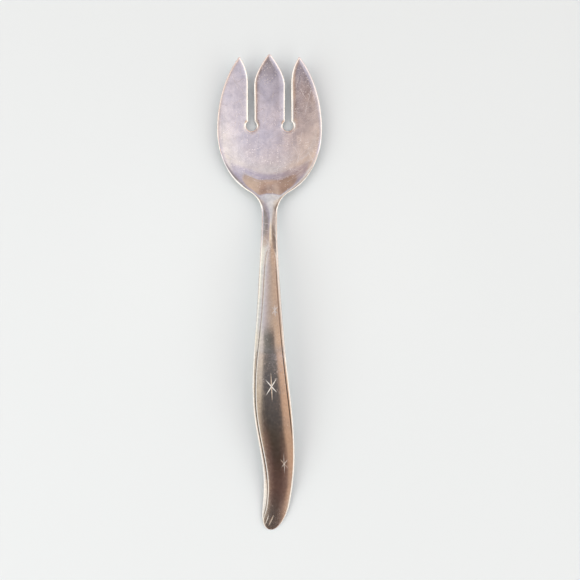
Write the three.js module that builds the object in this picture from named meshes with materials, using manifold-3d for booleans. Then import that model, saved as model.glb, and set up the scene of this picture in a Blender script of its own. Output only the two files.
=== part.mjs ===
// Serving fork pressed from one stainless steel blank: a shallow dished head with three tines,
// a ridged neck and a curved handle whose raised panel lies between two border grooves.
// Millimetres, +Z up. The fork lies face up on z = 0 with its tines towards +Y.
// A station is a distance from the centre tine's tip, measured back towards the handle end.

import * as THREE from 'three';
import { mergeVertices } from 'three/addons/utils/BufferGeometryUtils.js';
import Module from 'manifold-3d';

// Head in plan: two half ellipses that meet at the widest station
const headWidth = 48.3;
const tipToWidest = 33.5;
const frontHalfAxis = 39.4;
const heelHalfAxis = 31;
const neckFillet = 11.3;

// Neck and handle in plan: lengths of the stretches and the width and sideways swing at their ends
const neckLength = 25.5;
const neckStraight = 6;
const panelTipToCrest = 32;
const crestToSwing = 18;
const swingToGrip = 22;
const gripToBend = 32;
const bendToEnd = 25;
const endCapLength = 13;
const neckWidth = 7.3;
const panelTipWidth = 8.2;
const crestWidth = 12.1;
const swingWidth = 15.1;
const gripWidth = 17.4;
const bendWidth = 14;
const endWidth = 12.2;
const crestOffset = 0.25;
const swingOffset = 0.45;
const gripOffset = 1.7;
const bendOffset = 4.1;
const capOffset = 3.05;
const endOffset = 0.7;

// Side profile: height of the top face on the centre line
const tipHeight = 8;
const tineHeight = 4.9;
const widestHeight = 2.45;
const floorHeight = 1.65;
const heelFootHeight = 1.85;
const heelWallHeight = 3.4;
const tongueHeight = 5.7;
const shoulderHeight = 6.7;
const neckHeight = 9.2;
const panelTipHeight = 11.85;
const crestHeight = 15.9;
const swingHeight = 15.7;
const gripHeight = 13.2;
const bendHeight = 6.6;
const capHeight = 3.5;
const endHeight = 1.35;
const heelFootFromHeel = 10;
const heelWallFromHeel = 6;
const tongueFromHeel = 1.5;
const shoulderPastHeel = 5.5;
const floorEndFromHeel = 13.5;
const headFadeFromHeel = 4.5;
const headFadePastHeel = 7.5;

// Sections: dish of the head, crown of the neck and handle, and the metal's thickness
const dishDepth = 4.2;
const heelBow = 5.3;
const heelBowHalfWidth = 17.2;
const heelHalfWidth = 11.5;
const heelFallPower = 5;
const neckCrown = 1.1;
const handleCrown = 1.3;
const neckRidgePower = 1.35;
const handleDomePower = 2;
const tipThickness = 1.1;
const tineThickness = 1.55;
const headThickness = 1.8;
const neckThickness = 3;
const crestThickness = 2.9;
const gripThickness = 2.6;
const endThickness = 1.65;
const edgeRound = 0.4;

// Border of the raised panel
const panelTipHalfWidth = 0.9;
const panelArchLength = 9;
const leftBorderAtCrest = 2.3;
const leftBorderAtGrip = 1.4;
const leftBorderAtEnd = 2;
const rightBorder = 1.1;
const grooveWidth = 0.6;
const grooveDepth = 0.25;
const borderStep = 0.2;
const grooveFade = 5;

// Tines and the keyhole gaps between them
const gapSpacing = 17;
const gapWidth = 2.8;
const keyholeDiameter = 4.8;
const keyholeFromTip = 31.2;
const tipRadius = 1.3;
const tipSweep = THREE.MathUtils.degToRad(50);
const centreFlareLength = 13;
const centreFlareControl = 8.2;
const outerTipSpread = 28.1;
const outerTipSetback = 1.15;
const outerTipRadius = 1.05;
const outerTipStart = THREE.MathUtils.degToRad(150);
const outerFlareLength = 12.5;
const outerFlareControl = 6.1;

// Mesh steps
const headStep = 2.4;
const handleStep = 3.2;
const capSteps = 8;
const panelColumns = 9;
const backColumns = 11;
const arcSteps = 14;
const cutMargin = 4;
const blankFrontTrim = 0.6;

// Stations that follow from the lengths
const blankFront = tipToWidest - frontHalfAxis + blankFrontTrim;
const heelStation = tipToWidest + heelHalfAxis;
const heelFootStation = heelStation - heelFootFromHeel;
const panelTipStation = heelStation + neckLength;
const crestStation = panelTipStation + panelTipToCrest;
const swingStation = crestStation + crestToSwing;
const gripStation = swingStation + swingToGrip;
const bendStation = gripStation + gripToBend;
const overallLength = bendStation + bendToEnd;
const capStation = overallLength - endCapLength;
const tipY = overallLength / 2;

const { lerp, smoothstep } = THREE.MathUtils;

function curveThrough(points) {
  const stations = points.map((point) => point[0]);
  const values = points.map((point) => point[1]);
  const spline = new THREE.CubicInterpolant(stations, values, 1);
  return (station) => spline.evaluate(station)[0];
}

// Plan outline

// Fillet circle that touches the heel ellipse and the neck's straight side
function findNeckFillet() {
  let low = 0;
  let high = Math.PI / 2;
  let tangent = null;
  for (let step = 0; step < 50; step += 1) {
    const angle = (low + high) / 2;
    const point = new THREE.Vector2(heelHalfAxis * Math.sin(angle), (headWidth / 2) * Math.cos(angle));
    const normal = new THREE.Vector2(Math.sin(angle) / heelHalfAxis, Math.cos(angle) / (headWidth / 2));
    tangent = { point, centre: normal.normalize().multiplyScalar(neckFillet).add(point) };
    if (tangent.centre.y > neckWidth / 2 + neckFillet) {
      low = angle;
    } else {
      high = angle;
    }
  }
  return {
    start: tipToWidest + tangent.point.x,
    end: tipToWidest + tangent.centre.x,
    centre: neckWidth / 2 + neckFillet,
  };
}

const fillet = findNeckFillet();

const handleWidth = curveThrough([
  [fillet.end, neckWidth],
  [fillet.end + neckStraight, neckWidth],
  [panelTipStation, panelTipWidth],
  [crestStation, crestWidth],
  [swingStation, swingWidth],
  [gripStation, gripWidth],
  [bendStation, bendWidth],
  [overallLength, endWidth],
]);

const sideOffset = curveThrough([
  [fillet.end, 0],
  [panelTipStation, 0],
  [crestStation, crestOffset],
  [swingStation, swingOffset],
  [gripStation, gripOffset],
  [bendStation, bendOffset],
  [capStation, capOffset],
  [overallLength, endOffset],
]);

function halfWidth(station) {
  if (station < fillet.start) {
    const axis = station < tipToWidest ? frontHalfAxis : heelHalfAxis;
    return (headWidth / 2) * Math.sqrt(1 - ((station - tipToWidest) / axis) ** 2);
  }
  if (station < fillet.end) {
    return fillet.centre - Math.sqrt(neckFillet ** 2 - (fillet.end - station) ** 2);
  }
  const past = Math.max(0, station - capStation) / endCapLength;
  return (handleWidth(station) / 2) * Math.sqrt(1 - past ** 2);
}

// Heights and thickness

const centreHeight = curveThrough([
  [0, tipHeight],
  [tipToWidest / 2, tineHeight],
  [tipToWidest, widestHeight],
  [(tipToWidest + heelFootStation) / 2, floorHeight],
  [heelFootStation, heelFootHeight],
  [heelStation - heelWallFromHeel, heelWallHeight],
  [heelStation - tongueFromHeel, tongueHeight],
  [heelStation + shoulderPastHeel, shoulderHeight],
  [(heelStation + shoulderPastHeel + panelTipStation) / 2, neckHeight],
  [panelTipStation, panelTipHeight],
  [crestStation, crestHeight],
  [swingStation, swingHeight],
  [gripStation, gripHeight],
  [bendStation, bendHeight],
  [capStation, capHeight],
  [overallLength, endHeight],
]);

const thickness = curveThrough([
  [0, tipThickness],
  [tipToWidest / 2, tineThickness],
  [tipToWidest, headThickness],
  [heelFootStation, headThickness],
  [heelStation + shoulderPastHeel, neckThickness],
  [panelTipStation, neckThickness],
  [crestStation, crestThickness],
  [gripStation, gripThickness],
  [overallLength, endThickness],
]);

const leftBorder = curveThrough([
  [panelTipStation, leftBorderAtCrest],
  [crestStation, leftBorderAtCrest],
  [gripStation, leftBorderAtGrip],
  [capStation, leftBorderAtEnd],
]);

// Height of the sheet before the crown: the floor, the heel's wall, which is bowed in plan
// and falls away to both sides, and the dish
function sheetHeight(station, x) {
  const inHead = 1 - smoothstep(station, heelStation - headFadeFromHeel, heelStation + headFadePastHeel);
  const bow = heelBow * (x / heelBowHalfWidth) ** 2 * inHead;
  const dish = dishDepth * (x / (headWidth / 2)) ** 2 * inHead;
  const floor = centreHeight(Math.min(station + bow, heelStation - floorEndFromHeel));
  const wall = centreHeight(station + bow) - floor;
  const wallShare = 1 / (1 + Math.abs(x / heelHalfWidth) ** heelFallPower);
  return floor + wall * lerp(1, wallShare, inHead) + dish;
}

function crownDrop(station, x) {
  const side = Math.abs(x - sideOffset(station)) / halfWidth(station);
  const onHandle = smoothstep(station, panelTipStation, crestStation);
  const height = lerp(neckCrown, handleCrown, onHandle);
  const power = lerp(neckRidgePower, handleDomePower, onHandle);
  const rise = smoothstep(station, heelStation - tongueFromHeel, heelStation + shoulderPastHeel);
  const atEnd = Math.sqrt(1 - Math.max(0, station - capStation) / endCapLength);
  return height * rise * atEnd * Math.min(1, side) ** power;
}

function topHeight(station, x) {
  return sheetHeight(station, x) - crownDrop(station, x);
}

function backHeight(station, x) {
  return sheetHeight(station, x) - thickness(station);
}

// Sections

// Sideways places of the groove centres: the panel opens as a pointed arch, then follows the edges
function panelEdges(station) {
  const half = halfWidth(station);
  const middle = sideOffset(station);
  const past = Math.max(0, station - panelTipStation);
  const arch = panelTipHalfWidth + past * half / panelArchLength;
  const left = middle - Math.min(arch, half - leftBorder(station) * Math.min(1, half * 2 / endWidth));
  const right = middle + Math.min(arch, half - rightBorder * Math.min(1, half * 2 / endWidth));
  return { left, right };
}

// Depth of the border grooves and of the border itself, which fade out at both ends of the panel
function borderFade(station) {
  const start = smoothstep(station, panelTipStation - grooveFade, panelTipStation);
  const end = smoothstep(station, capStation - grooveFade, capStation + grooveFade);
  return start * (1 - end);
}

// Closed loop of points round the metal at one station
function section(station) {
  const half = halfWidth(station);
  const middle = sideOffset(station);
  const panel = panelEdges(station);
  const fade = borderFade(station);
  const shrink = Math.min(1, half * 2 / endWidth);
  const groove = (grooveWidth / 2) * shrink;
  const narrowest = Math.min(panel.left - middle + half, middle + half - panel.right) - groove;
  const round = Math.min(edgeRound, narrowest / 2) * shrink;
  const spread = smoothstep(station, heelStation, panelTipStation);
  const count = panelColumns + 7;

  const bordered = [
    { x: middle - half + round, drop: borderStep },
    { x: panel.left - groove, drop: borderStep },
    { x: panel.left, drop: grooveDepth + borderStep / 2 },
  ];
  for (let column = 0; column <= panelColumns + 1; column += 1) {
    bordered.push({ x: lerp(panel.left + groove, panel.right - groove, column / (panelColumns + 1)), drop: 0 });
  }
  bordered.push(
    { x: panel.right, drop: grooveDepth + borderStep / 2 },
    { x: panel.right + groove, drop: borderStep },
    { x: middle + half - round, drop: borderStep },
  );

  const y = tipY - station;
  const points = bordered.map((place, index) => {
    const even = middle + (half - round) * (2 * index / count - 1);
    const x = lerp(even, place.x, spread);
    return new THREE.Vector3(x, y, topHeight(station, x) - place.drop * fade * spread);
  });
  const back = [];
  for (let column = 0; column <= backColumns; column += 1) {
    const x = middle + (half - round) * (1 - 2 * column / backColumns);
    back.push(new THREE.Vector3(x, y, backHeight(station, x)));
  }
  const rightEdge = points.at(-1).clone().lerp(back[0], 0.5).setX(middle + half);
  const leftEdge = points[0].clone().lerp(back.at(-1), 0.5).setX(middle - half);
  return [...points, rightEdge, ...back, leftEdge];
}

function steppedStations(from, to, step) {
  const count = Math.ceil((to - from) / step);
  return Array.from({ length: count }, (unused, index) => lerp(from, to, index / count));
}

function loftStations() {
  const cap = Array.from({ length: capSteps }, (unused, index) => (
    capStation + endCapLength * Math.sin((index / capSteps) * (Math.PI / 2))
  ));
  return [
    ...steppedStations(blankFront, fillet.end, headStep),
    ...steppedStations(fillet.end, capStation, handleStep),
    ...cap,
  ];
}

// Pressed blank

// Skin over the sections, closed by a fan of triangles at the front and at the handle end
function pressedBlank() {
  const rings = loftStations().map(section);
  const ringSize = rings[0].length;
  const endPoint = new THREE.Vector3(endOffset, tipY - overallLength, endHeight - endThickness / 2);
  const frontPoint = rings[0].reduce((sum, point) => sum.add(point), new THREE.Vector3());
  frontPoint.divideScalar(ringSize);
  const points = [...rings.flat(), frontPoint, endPoint];
  const frontIndex = points.length - 2;
  const endIndex = points.length - 1;
  const index = [];
  for (let side = 0; side < ringSize; side += 1) {
    const next = (side + 1) % ringSize;
    for (let ring = 0; ring < rings.length - 1; ring += 1) {
      const here = ring * ringSize;
      const there = here + ringSize;
      index.push(here + side, there + side, here + next);
      index.push(here + next, there + side, there + next);
    }
    const last = (rings.length - 1) * ringSize;
    index.push(frontIndex, side, next);
    index.push(endIndex, last + next, last + side);
  }
  const geometry = new THREE.BufferGeometry().setFromPoints(points);
  geometry.setIndex(index);
  return geometry;
}

// Outline of all the metal that is pierced away between and in front of the tines
function tineGapOutline() {
  const gapX = gapSpacing / 2;
  const innerX = gapX - gapWidth / 2;
  const outerX = gapX + gapWidth / 2;
  const holeY = tipY - keyholeFromTip;
  const holeAngle = Math.acos(gapWidth / keyholeDiameter);
  const outerTip = new THREE.Vector2(outerTipSpread / 2, tipY - outerTipSetback - outerTipRadius);
  const flankEnd = outerTip.clone();
  flankEnd.x += outerTipRadius * Math.cos(outerTipStart);
  flankEnd.y += outerTipRadius * Math.sin(outerTipStart);

  const path = new THREE.Path();
  path.absarc(0, tipY - tipRadius, tipRadius, Math.PI / 2, Math.PI / 2 - tipSweep, true);
  path.quadraticCurveTo(innerX, tipY - centreFlareControl, innerX, tipY - centreFlareLength);
  path.absarc(gapX, holeY, keyholeDiameter / 2, Math.PI - holeAngle, 2 * Math.PI + holeAngle, false);
  path.lineTo(outerX, tipY - outerFlareLength);
  path.quadraticCurveTo(outerX, tipY - outerFlareControl, flankEnd.x, flankEnd.y);
  path.absarc(outerTip.x, outerTip.y, outerTipRadius, outerTipStart, 0, true);
  path.lineTo(headWidth / 2 + cutMargin, outerTip.y);
  path.lineTo(headWidth / 2 + cutMargin, tipY - blankFront + cutMargin);

  const right = path.getPoints(arcSteps);
  const left = right.slice(1).reverse().map((point) => new THREE.Vector2(-point.x, point.y));
  return new THREE.Shape([...right, ...left]);
}

// Solids

const wasm = await Module();
wasm.setup();

function toSolid(geometry) {
  geometry.deleteAttribute('normal');
  geometry.deleteAttribute('uv');
  const merged = mergeVertices(geometry);
  return new wasm.Manifold(new wasm.Mesh({
    numProp: 3,
    vertProperties: Float32Array.from(merged.attributes.position.array),
    triVerts: Uint32Array.from(merged.index.array),
  }));
}

function toGeometry(solid) {
  const mesh = solid.getMesh();
  const geometry = new THREE.BufferGeometry();
  geometry.setAttribute('position', new THREE.BufferAttribute(mesh.vertProperties, 3));
  geometry.setIndex(new THREE.BufferAttribute(mesh.triVerts, 1));
  geometry.computeVertexNormals();
  return geometry;
}

function tineGapCutter() {
  const depth = tipHeight + dishDepth + 2 * cutMargin;
  const cutter = new THREE.ExtrudeGeometry(tineGapOutline(), { depth, bevelEnabled: false });
  return cutter.translate(0, 0, -cutMargin);
}

// Space above the table: what it trims off leaves the small flats that the fork rests on
function aboveTable() {
  const height = crestHeight + dishDepth + cutMargin;
  const block = new THREE.BoxGeometry(headWidth + 2 * cutMargin, overallLength + 4 * cutMargin, height);
  return block.translate(0, 0, height / 2);
}

const forkSolid = toSolid(pressedBlank())
  .subtract(toSolid(tineGapCutter()))
  .intersect(toSolid(aboveTable()));

const steel = new THREE.MeshStandardMaterial({ color: 0xc9c4bd, roughness: 0.22, metalness: 1 });
const servingFork = new THREE.Mesh(toGeometry(forkSolid), steel);
servingFork.name = 'serving_fork';

const fork = new THREE.Group();
fork.add(servingFork);

export default fork;
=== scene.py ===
import math

import bmesh
import bpy
import numpy as np
from mathutils import Matrix, Vector


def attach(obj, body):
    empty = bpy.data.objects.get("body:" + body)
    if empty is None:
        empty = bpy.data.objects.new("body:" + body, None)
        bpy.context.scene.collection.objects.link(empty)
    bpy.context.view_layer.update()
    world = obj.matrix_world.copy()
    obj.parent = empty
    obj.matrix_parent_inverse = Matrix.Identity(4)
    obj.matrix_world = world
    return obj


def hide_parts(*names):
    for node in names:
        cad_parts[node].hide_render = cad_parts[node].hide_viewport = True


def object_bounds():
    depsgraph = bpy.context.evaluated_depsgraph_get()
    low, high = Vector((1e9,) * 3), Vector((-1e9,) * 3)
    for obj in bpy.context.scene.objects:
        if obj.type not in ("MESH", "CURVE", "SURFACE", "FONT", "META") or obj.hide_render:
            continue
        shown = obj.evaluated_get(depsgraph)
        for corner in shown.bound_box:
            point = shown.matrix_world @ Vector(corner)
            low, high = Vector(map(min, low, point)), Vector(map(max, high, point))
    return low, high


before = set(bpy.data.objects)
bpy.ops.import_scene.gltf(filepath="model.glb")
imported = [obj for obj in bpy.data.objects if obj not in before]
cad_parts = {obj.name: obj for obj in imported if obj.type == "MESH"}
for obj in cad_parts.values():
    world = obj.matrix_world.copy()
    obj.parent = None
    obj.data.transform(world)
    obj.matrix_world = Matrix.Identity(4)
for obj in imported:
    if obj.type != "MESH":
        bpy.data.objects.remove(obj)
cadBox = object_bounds()
mm = 0.001

# stations are millimetres from the centre tine's tip, back towards the handle end
forkSizes = {
    "headWidth": 48.27,
    "widestStation": 33.5,
    "frontHalfAxis": 39.4,
    "heelHalfAxis": 31.0,
    "neckFillet": 11.3,
    "neckWidth": 7.3,
    "overallLength": 219.0,
    "capLength": 13.0,
    "leftCapPower": 2.3,
    "rightCapPower": 2.0,
    "handleWidths": [(78.0, 7.3), (90.0, 8.2), (122.0, 12.1), (140.0, 15.1), (162.0, 17.4), (194.0, 14.0),
        (219.0, 12.2)],
    "handleSwing": [(72.0, 0.0), (90.0, 0.0), (122.0, 0.25), (140.0, 0.45), (162.0, 1.7), (194.0, 4.1),
        (206.0, 3.05), (219.0, 0.7)],
    "profile": [(-6.0, 9.6), (0.0, 8.0), (8.0, 6.15), (16.75, 4.55), (25.0, 3.3), (33.5, 2.38), (44.0, 1.7),
        (50.0, 1.57), (52.5, 1.61), (53.6, 1.68), (54.6, 1.8), (55.7, 2.00), (56.4, 2.2), (57.4, 2.61),
        (58.8, 3.33), (61.0, 4.58), (62.0, 5.13), (62.8, 5.48), (63.6, 5.7), (65.0, 5.93), (67.5, 6.27),
        (71.0, 6.88), (75.0, 7.86), (80.0, 9.2), (86.0, 10.84), (90.0, 11.85), (122.0, 15.9), (140.0, 15.7),
        (162.0, 13.2), (194.0, 6.6), (206.0, 3.5), (219.0, 1.35)],
    "thickness": [(0.0, 1.1), (16.75, 1.55), (33.5, 1.8), (54.5, 1.8), (70.0, 3.0), (90.0, 3.0), (122.0, 2.9),
        (162.0, 2.6), (219.0, 1.65)],
    "dishDepth": 4.2,
    "heelBow": 7.8,
    "heelBowHalfWidth": 17.2,
    "heelHalfWidth": 12.8,
    "heelFallPower": 5,
    "floorEnd": 51.0,
    "headFade": (60.0, 72.0),
    "neckStart": 76.0,
    "tongue": 64.0,
    "neckCrown": 1.32,
    "handleCrown": 1.3,
    "ridgeSoft": 0.26,  # how round the neck's ridge is, as a share of half the neck
    "tongueSetback": 1.9,
    "besideFrom": (0.8, 5.8),
    "besideUntil": (9.0, 14.0),
    "wallFrom": (51.0, 67.0),
    "wallUntil": (68.0, 76.0),
    "ridgeOffset": 0.7,
    "domeSoft": 20,  # how much rounder the handle is than the ridge
    "domeFrom": (84.0, 108.0),
    "ridgeFrom": (66.0, 74.0),
    "ridgeUntil": (96.0, 122.0),
    "headEdge": (1.8, 0.8),  # how far in, and how far down, the rim is rounded
    "handleEdge": (0.9, 0.42),
    "backRound": 0.35,
    "rimHighlightBand": (0.35, 0.95),  # how far in from the outline the painted rim highlight, a brighter base colour, starts and stops to fade
    "rimHighlightOnHandle": 0.2,  # how much of it is left on the handle
    "edgeFade": (58.0, 76.0),
    "rimHighlightFade": (92.0, 112.0),
}

tineSizes = {
    "gapCentre": 8.5,
    "gapHalf": 1.4,
    "keyholeRadius": 2.4,
    "keyholeStation": 31.2,
    "keyholeSide": math.radians(35),  # where the keyhole's side ends and its floor begins
    "tipRadius": 1.3,
    "tipSweep": math.radians(50),
    "centreFlare": (13.0, 8.2),  # end of the flare and its curve handle
    "outerFlare": (12.5, 6.1),
    "outerTip": (13.64, 1.71),
    "outerTipRadius": 0.5,
    "outerTipAngles": (math.radians(172), math.radians(38)),
    "tineColumns": 20,
    "gapColumns": 8,
}

borderSizes = {
    "panelTip": 88.0,
    "archGrowth": 0.95,
    "leftBorder": [(90.0, 2.35), (122.0, 2.35), (150.0, 1.3), (172.0, 1.3), (202.0, 2.1), (219.0, 2.1)],
    "rightBorder": [(90.0, 1.2), (122.0, 1.3), (150.0, 0.95), (190.0, 0.9), (219.0, 0.7)],
    "leftGroove": (0.28, 0.28, 0.15),  # width of the groove's outer wall, of its inner wall, and depth
    "borderStep": 0.08,
    "rightStep": (0.36, 0.12),  # the right border stands up instead: width of its wall, and rise
    "endTilt": 0.12,  # the left border leans outward near the handle's end
    "endSlant": 1.4,  # and its line runs outward
    "endSlantFrom": (205.0, 219.0),
    "endTiltFrom": (190.0, 212.0),
    "grooveShadeWidth": (0.06, 0.3),  # painted dark shade to both sides of the border lines, full and faded
    "grooveShade": (0.4, 0.9),  # how much of it lies in the left line and in the right one
    "edgeColumns": 14,
    "columnsFrom": (78.0, 90.0),  # where the grid follows the border lines
    "columnsUntil": (203.0, 207.0),
    "leftEnd": (208.0, 218.0),
    "rightEnd": (160.0, 180.0),
}


def smoothStep(value, start, end):
    share = np.clip((value - start) / (end - start), 0, 1)
    return share * share * (3 - 2 * share)


def window(value, rise, fall):
    return smoothStep(value, *rise) * (1 - smoothStep(value, *fall))


# smooth curve through a few points, with its bend continuous all along
def smoothCurve(points):
    x = np.array([point[0] for point in points])
    y = np.array([point[1] for point in points])
    step = np.diff(x)
    count = len(x)
    system = np.eye(count)
    target = np.zeros(count)
    for k in range(1, count - 1):
        system[k, k - 1:k + 2] = step[k - 1], 2 * (step[k - 1] + step[k]), step[k]
        target[k] = 6 * ((y[k + 1] - y[k]) / step[k] - (y[k] - y[k - 1]) / step[k - 1])
    bend = np.linalg.solve(system, target)

    def valueAt(station):
        station = np.clip(np.asarray(station, float), x[0], x[-1])
        k = np.clip(np.searchsorted(x, station) - 1, 0, count - 2)
        after, before, span = x[k + 1] - station, station - x[k], step[k]
        cubic = (bend[k] * after ** 3 + bend[k + 1] * before ** 3) / (6 * span)
        line = (y[k] / span - bend[k] * span / 6) * after + (y[k + 1] / span - bend[k + 1] * span / 6) * before
        return cubic + line
    return valueAt


# circle that touches the heel ellipse and the neck's straight side: its first and last station, and its centre line
def neckFillet():
    half = forkSizes["headWidth"] / 2
    axis = forkSizes["heelHalfAxis"]
    radius = forkSizes["neckFillet"]
    centreSide = forkSizes["neckWidth"] / 2 + radius
    low, high = 0.0, math.pi / 2
    for _ in range(50):
        angle = (low + high) / 2
        point = Vector((axis * math.sin(angle), half * math.cos(angle)))
        centre = point + Vector((math.sin(angle) / axis, math.cos(angle) / half)).normalized() * radius
        low, high = (angle, high) if centre.y > centreSide else (low, angle)
    widest = forkSizes["widestStation"]
    return widest + point.x, widest + centre.x, centreSide


filletStart, filletEnd, filletCentre = neckFillet()
neckPoints = [(filletEnd - 6.0, forkSizes["neckWidth"]), (filletEnd, forkSizes["neckWidth"])]
handleWidth = smoothCurve(neckPoints + forkSizes["handleWidths"])
handleSwing = smoothCurve(forkSizes["handleSwing"])
centreProfile = smoothCurve(forkSizes["profile"])
thicknessAt = smoothCurve(forkSizes["thickness"])
leftBorder = smoothCurve(borderSizes["leftBorder"])
rightBorder = smoothCurve(borderSizes["rightBorder"])
capStation = forkSizes["overallLength"] - forkSizes["capLength"]


def halfWidth(station, capPower=2.0):
    station = np.asarray(station, float)
    axis = np.where(station < forkSizes["widestStation"], forkSizes["frontHalfAxis"], forkSizes["heelHalfAxis"])
    along = (station - forkSizes["widestStation"]) / axis
    egg = forkSizes["headWidth"] / 2 * np.sqrt(np.clip(1 - along ** 2, 0, None))
    radius = forkSizes["neckFillet"]
    fillet = filletCentre - np.sqrt(np.clip(radius ** 2 - (filletEnd - station) ** 2, 0, None))
    past = np.clip(station - capStation, 0, None) / forkSizes["capLength"]
    handle = handleWidth(station) / 2 * np.clip(1 - past ** capPower, 0, None) ** (1 / capPower)
    return np.where(station < filletStart, egg, np.where(station < filletEnd, fillet, handle))


def leftEdge(station):
    return handleSwing(station) - halfWidth(station, forkSizes["leftCapPower"])


def rightEdge(station):
    return handleSwing(station) + halfWidth(station, forkSizes["rightCapPower"])


def ridgeLine(station):
    onNeck = window(station, forkSizes["ridgeFrom"], forkSizes["ridgeUntil"])
    return handleSwing(station) + forkSizes["ridgeOffset"] * onNeck


# sideways place of the two border lines, which open from a point on the neck's ridge
def grooveLines(station):
    past = np.clip(station - borderSizes["panelTip"], 0, None)
    arch = borderSizes["archGrowth"] * np.sqrt(past) + 0.02 * past
    arch = np.maximum(arch, 0.02)
    middle = ridgeLine(station)
    leftLimit = middle - handleSwing(station) + handleWidth(station) / 2 - leftBorder(station)
    rightLimit = handleSwing(station) - middle + handleWidth(station) / 2 - rightBorder(station)
    softer = 6.0  # rounds the place where the arch meets the border's own line
    left = (arch ** -softer + leftLimit ** -softer) ** (-1 / softer)
    right = (arch ** -softer + rightLimit ** -softer) ** (-1 / softer)
    leftSlant = borderSizes["endSlant"] * smoothStep(station, *borderSizes["endSlantFrom"]) ** 1.5
    return middle - left - leftSlant, middle + right


def borderDrop(station, x):
    left, right = grooveLines(station)
    inward = x - left
    outer, inner, depth = borderSizes["leftGroove"]
    groove = depth * np.clip(1 - np.abs(inward) / np.where(inward < 0, outer, inner), 0, None)
    step = borderSizes["borderStep"] * (1 - smoothStep(inward, -outer, inner))
    width, rise = borderSizes["rightStep"]
    climb = rise * np.clip((x - right) / width + 0.5, 0, 1)
    drop = (groove + step) * (1 - smoothStep(station, *borderSizes["leftEnd"]))
    drop = drop - climb * (1 - smoothStep(station, *borderSizes["rightEnd"]))
    tilt = borderSizes["endTilt"] * np.clip(-inward, 0, None) * smoothStep(station, *borderSizes["endTiltFrom"])
    return drop * smoothStep(station, borderSizes["panelTip"] - 0.5, borderSizes["panelTip"] + 3.0) + tilt


# the floor, the heel's wall, which is bowed in plan and falls away to both sides, and the dish
def sheetHeight(station, x):
    inHead = 1 - smoothStep(station, *forkSizes["headFade"])
    bow = forkSizes["heelBow"] * (x / forkSizes["heelBowHalfWidth"]) ** 2 * inHead
    # the wall stands further back beside the neck, so the neck ends in a round tongue
    beside = window(np.abs(x), forkSizes["besideFrom"], forkSizes["besideUntil"])
    onWall = window(station, forkSizes["wallFrom"], forkSizes["wallUntil"])
    setBack = forkSizes["tongueSetback"] * beside * onWall
    place = station + bow - setBack
    floor = centreProfile(np.minimum(place, forkSizes["floorEnd"]))
    wallShare = 1 / (1 + np.abs(x / forkSizes["heelHalfWidth"]) ** forkSizes["heelFallPower"])
    dish = forkSizes["dishDepth"] * (x / (forkSizes["headWidth"] / 2)) ** 2 * inHead
    return floor + (centreProfile(place) - floor) * (1 - (1 - wallShare) * inHead) + dish


def topHeight(station, x):
    onHandle = smoothStep(station, borderSizes["panelTip"], 122.0)
    half = np.maximum(handleWidth(station) / 2, 0.1)
    fromRidge = x - ridgeLine(station)
    side = np.clip(np.abs(fromRidge) / (half + np.sign(fromRidge) * (handleSwing(station) - ridgeLine(station))), 0, 1)
    crown = forkSizes["neckCrown"] + (forkSizes["handleCrown"] - forkSizes["neckCrown"]) * onHandle
    soft = forkSizes["ridgeSoft"] * forkSizes["domeSoft"] ** smoothStep(station, *forkSizes["domeFrom"])
    arch = (np.sqrt(side ** 2 + soft ** 2) - soft) / (np.sqrt(1 + soft ** 2) - soft)
    rise = smoothStep(station, forkSizes["tongue"], forkSizes["neckStart"])
    past = np.clip(station - capStation, 0, None) / forkSizes["capLength"]
    crownDrop = crown * rise * np.sqrt(np.clip(1 - past, 0.05, 1)) * arch
    return sheetHeight(station, x) - crownDrop - borderDrop(station, x)


def backHeight(station, x):
    return np.maximum(sheetHeight(station, x) - thicknessAt(station), 0)


# places across a strip: fixed steps in from both sides, even steps between
def ladder(width, startSteps, endSteps, count):
    fixed = startSteps[-1] + endSteps[-1]
    shrink = min(1.0, 0.6 * width / fixed)
    first = np.array(startSteps) * shrink
    last = width - np.array(endSteps)[::-1] * shrink
    middle = np.linspace(first[-1], last[0], count + 3 - len(first) - len(last))[1:-1]
    return np.concatenate([first, middle, last])


headSteps = (0.0, 0.04, 0.15, 0.34, 0.62, 1.0, 1.5)
edgeSteps = (0.0, 0.03, 0.11, 0.25, 0.45, 0.68, 0.95)
grooveSteps = (0.0, 0.09, 0.18, 0.28)


# edge of a gap: a flare from the tine's tip, the straight slot, then the side of the keyhole
def flareEdge(station, tipX, tipStation, flare, side):
    straight = tineSizes["gapCentre"] + side * tineSizes["gapHalf"]
    flareEnd, handle = flare
    a = tipStation - 2 * handle + flareEnd
    b = 2 * (handle - tipStation)
    c = tipStation - station
    share = (-b + math.sqrt(max(b * b - 4 * a * c, 0))) / (2 * a) if abs(a) > 1e-9 else -c / b
    if station < flareEnd:
        return tipX * (1 - share) ** 2 + straight * (1 - (1 - share) ** 2)
    radius = tineSizes["keyholeRadius"]
    up = station - tineSizes["keyholeStation"]
    bulge = math.sqrt(max(radius ** 2 - up ** 2, 0))
    return tineSizes["gapCentre"] + side * max(tineSizes["gapHalf"], bulge)


def outerTipPoint(share):
    start, end = tineSizes["outerTipAngles"]
    angle = start + (end - start) * share
    x, station = tineSizes["outerTip"]
    return x + tineSizes["outerTipRadius"] * math.cos(angle), station - tineSizes["outerTipRadius"] * math.sin(angle)


keyholeFloor = tineSizes["keyholeStation"] + tineSizes["keyholeRadius"] * math.sin(tineSizes["keyholeSide"])
slotEnd = tineSizes["keyholeStation"] - math.sqrt(tineSizes["keyholeRadius"] ** 2 - tineSizes["gapHalf"] ** 2)
endSweep = math.radians(65)
endEdgeStation = capStation + forkSizes["capLength"] * math.cos(endSweep)


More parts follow.
